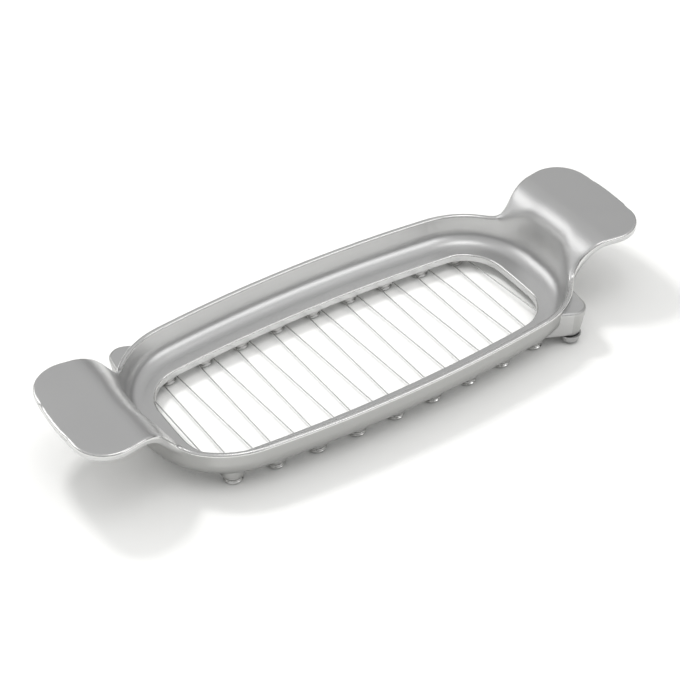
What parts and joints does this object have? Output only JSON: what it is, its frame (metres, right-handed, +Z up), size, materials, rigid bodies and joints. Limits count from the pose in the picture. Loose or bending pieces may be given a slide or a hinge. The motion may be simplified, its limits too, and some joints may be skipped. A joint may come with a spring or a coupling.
{
  "type": "wire butter slicer",
  "caption": "Wire slicer: cast dish with turned-up handle plates and an open floor, crossed by a taut wire that zigzags between grooved stud feet and is clamped under lugs.",
  "frame": {"origin": "on the table plane, under the middle of the dish", "axes": "+X along the dish from handle to handle, +Y across it, +Z up"},
  "size_m": [0.2448, 0.0858, 0.0318],
  "materials": {
    "cast_aluminium": "satin",
    "stud_steel": "polished",
    "wire_steel": "drawn",
    "clamp_steel": "plain"
  },
  "bodies": {
    "slicer": {"frame": "cast_aluminium", "near_stud_1": "stud_steel", "near_stud_2": "stud_steel", "near_stud_3": "stud_steel", "near_stud_4": "stud_steel", "near_stud_5": "stud_steel", "near_stud_6": "stud_steel", "near_stud_7": "stud_steel", "near_stud_8": "stud_steel", "near_stud_9": "stud_steel", "far_stud_1": "stud_steel", "far_stud_2": "stud_steel", "far_stud_3": "stud_steel", "far_stud_4": "stud_steel", "far_stud_5": "stud_steel", "far_stud_6": "stud_steel", "far_stud_7": "stud_steel", "far_stud_8": "stud_steel", "far_stud_9": "stud_steel", "cutting_wire": "wire_steel"},
    "near_washer": {"near_clamp_washer": "clamp_steel"},
    "near_screw": {"near_clamp_screw": "clamp_steel"},
    "far_washer": {"far_clamp_washer": "clamp_steel"},
    "far_screw": {"far_clamp_screw": "clamp_steel"}
  },
  "joints": [
    {"name": "near_washer_slide", "type": "slide", "parent": "slicer", "child": "near_washer", "axis": [0, 0, -1], "range_m": [0, 0.0007]},
    {"name": "near_screw_turn", "type": "hinge", "parent": "near_washer", "child": "near_screw", "pos_m": [0.0775, -0.035, 0.00406], "axis": [0, 0, -1], "range_deg": [0, 360]},
    {"name": "far_washer_slide", "type": "slide", "parent": "slicer", "child": "far_washer", "axis": [0, 0, -1], "range_m": [0, 0.0007]},
    {"name": "far_screw_turn", "type": "hinge", "parent": "far_washer", "child": "far_screw", "pos_m": [-0.0775, 0.035, 0.00406], "axis": [0, 0, -1], "range_deg": [0, 360]}
  ],
  "couplings": [
    {"joint": "near_screw_turn", "follows": "near_washer_slide", "rad_per_m": 8975.9},
    {"joint": "far_screw_turn", "follows": "far_washer_slide", "rad_per_m": 8975.9}
  ]
}
